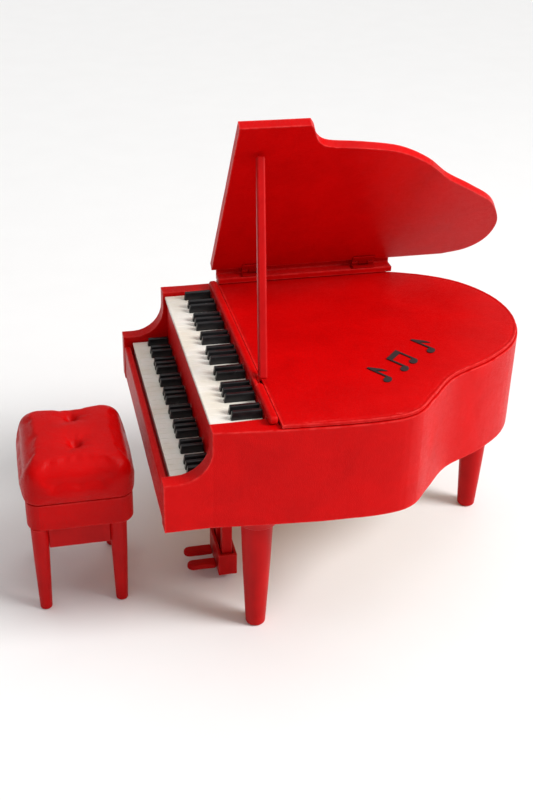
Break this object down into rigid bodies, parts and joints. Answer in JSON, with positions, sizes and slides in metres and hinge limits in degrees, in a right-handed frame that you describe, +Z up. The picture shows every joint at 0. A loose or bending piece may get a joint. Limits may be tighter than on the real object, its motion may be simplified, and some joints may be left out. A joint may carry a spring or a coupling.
{
  "type": "miniature grand piano",
  "caption": "Dolls' house grand piano in red leatherette with two keyboards, a hinged lid on a folding prop, a pedal lyre and a matching buttoned stool.",
  "frame": {"origin": "centre of the set's footprint (piano and stool), on the surface it stands on", "axes": "+X from the keyboards to the tail, +Y from the treble side to the lid's hinge side, +Z up"},
  "size_m": [0.2129, 0.1293, 0.1845],
  "materials": {
    "red_leatherette": "satin",
    "stool_leatherette": "satin",
    "red_painted_wood": "satin",
    "ivory_plastic": "satin",
    "black_lacquer": "gloss",
    "black_print": "matt",
    "pine_board": "matt",
    "red_painted_steel": "satin"
  },
  "bodies": {
    "piano": {"case_rim": "red_leatherette", "top_panel": "red_leatherette", "key_slip": "red_leatherette", "riser_board": "red_leatherette", "belly_rail": "red_leatherette", "hinge_rail": "red_leatherette", "treble_leg": "red_painted_wood", "bass_leg": "red_painted_wood", "tail_leg": "red_painted_wood", "treble_leg_collar": "red_painted_wood", "bass_leg_collar": "red_painted_wood", "tail_leg_collar": "red_painted_wood", "pedal_box": "red_painted_wood", "treble_lyre_post": "red_painted_wood", "bass_lyre_post": "red_painted_wood", "treble_pedal": "red_painted_wood", "bass_pedal": "red_painted_wood", "lower_key_bed": "red_painted_wood", "upper_key_bed": "red_painted_wood", "white_keys_lower": "ivory_plastic", "white_keys_upper": "ivory_plastic", "black_keys_lower": "black_lacquer", "black_keys_upper": "black_lacquer", "ornament_first_note": "black_print", "ornament_note_pair": "black_print", "ornament_last_note": "black_print", "bottom_board": "pine_board", "front_brace": "pine_board", "back_brace": "pine_board", "hinge_pin_0": "red_painted_steel", "hinge_pin_1": "red_painted_steel", "prop_pin": "red_painted_steel", "rail_hinge_leaf_0": "red_painted_steel", "rail_hinge_leaf_1": "red_painted_steel"},
    "lid": {"lid": "red_leatherette", "lid_hinge_leaf_0": "red_painted_steel", "lid_hinge_leaf_1": "red_painted_steel"},
    "prop": {"lid_prop": "red_painted_wood"},
    "stool": {"stool_cushion": "stool_leatherette", "stool_seat_box": "stool_leatherette", "stool_button_0": "stool_leatherette", "stool_button_1": "stool_leatherette", "stool_treble_player_leg": "red_painted_wood", "stool_treble_piano_leg": "red_painted_wood", "stool_bass_player_leg": "red_painted_wood", "stool_bass_piano_leg": "red_painted_wood", "stool_treble_apron": "red_painted_wood", "stool_bass_apron": "red_painted_wood"}
  },
  "joints": [
    {"name": "lid_close", "type": "hinge", "parent": "piano", "child": "lid", "pos_m": [0, 0.06165, 0.1011], "axis": [1, 0, 0], "range_deg": [0, 54]},
    {"name": "prop_fold", "type": "hinge", "parent": "piano", "child": "prop", "pos_m": [-0.0152, -0.03035, 0.0988], "axis": [0.7242, 0.1755, 0.6669], "range_deg": [0, 202.5]},
    {"name": "stool_slide", "type": "slide", "parent": "piano", "child": "stool", "axis": [1, 0, 0], "range_m": [-0.06, 0.005]}
  ],
  "couplings": [
    {"joint": "prop_fold", "follows": "lid_close", "ratio": 3.75}
  ]
}
